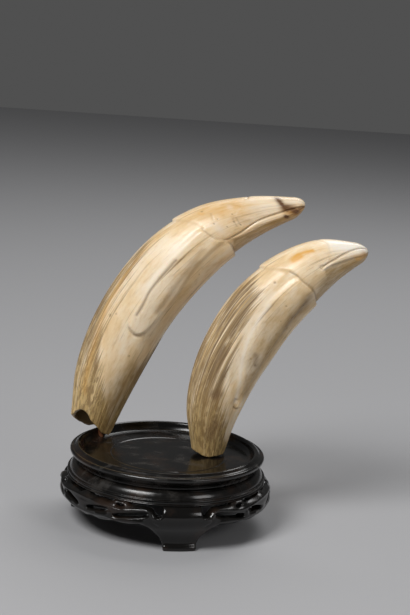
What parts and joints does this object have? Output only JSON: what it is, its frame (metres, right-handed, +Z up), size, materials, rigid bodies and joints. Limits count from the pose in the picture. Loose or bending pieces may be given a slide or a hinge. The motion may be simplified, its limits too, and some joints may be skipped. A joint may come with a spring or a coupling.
{
  "type": "pair of sperm whale teeth on a stand",
  "caption": "Curved whale teeth, each carved as a resting bird with a beak and folded wings, leaning on pegs over a round black lacquered stand with pierced aprons and feet.",
  "frame": {"origin": "middle of the underside of the whole object's box, on the surface that the three feet rest on", "axes": "+Z up, +X the way the beaks point, +Y away from the side that the picture shows"},
  "size_m": [0.1514, 0.1098, 0.1708],
  "materials": {
    "tooth": "satin",
    "lacquer": "gloss",
    "peg_wood": "matte"
  },
  "bodies": {
    "root": {"left_tooth": "tooth", "right_tooth": "tooth", "stand_tray": "lacquer", "stand_base": "lacquer", "left_peg": "peg_wood", "right_peg": "peg_wood"}
  },
  "joints": []
}
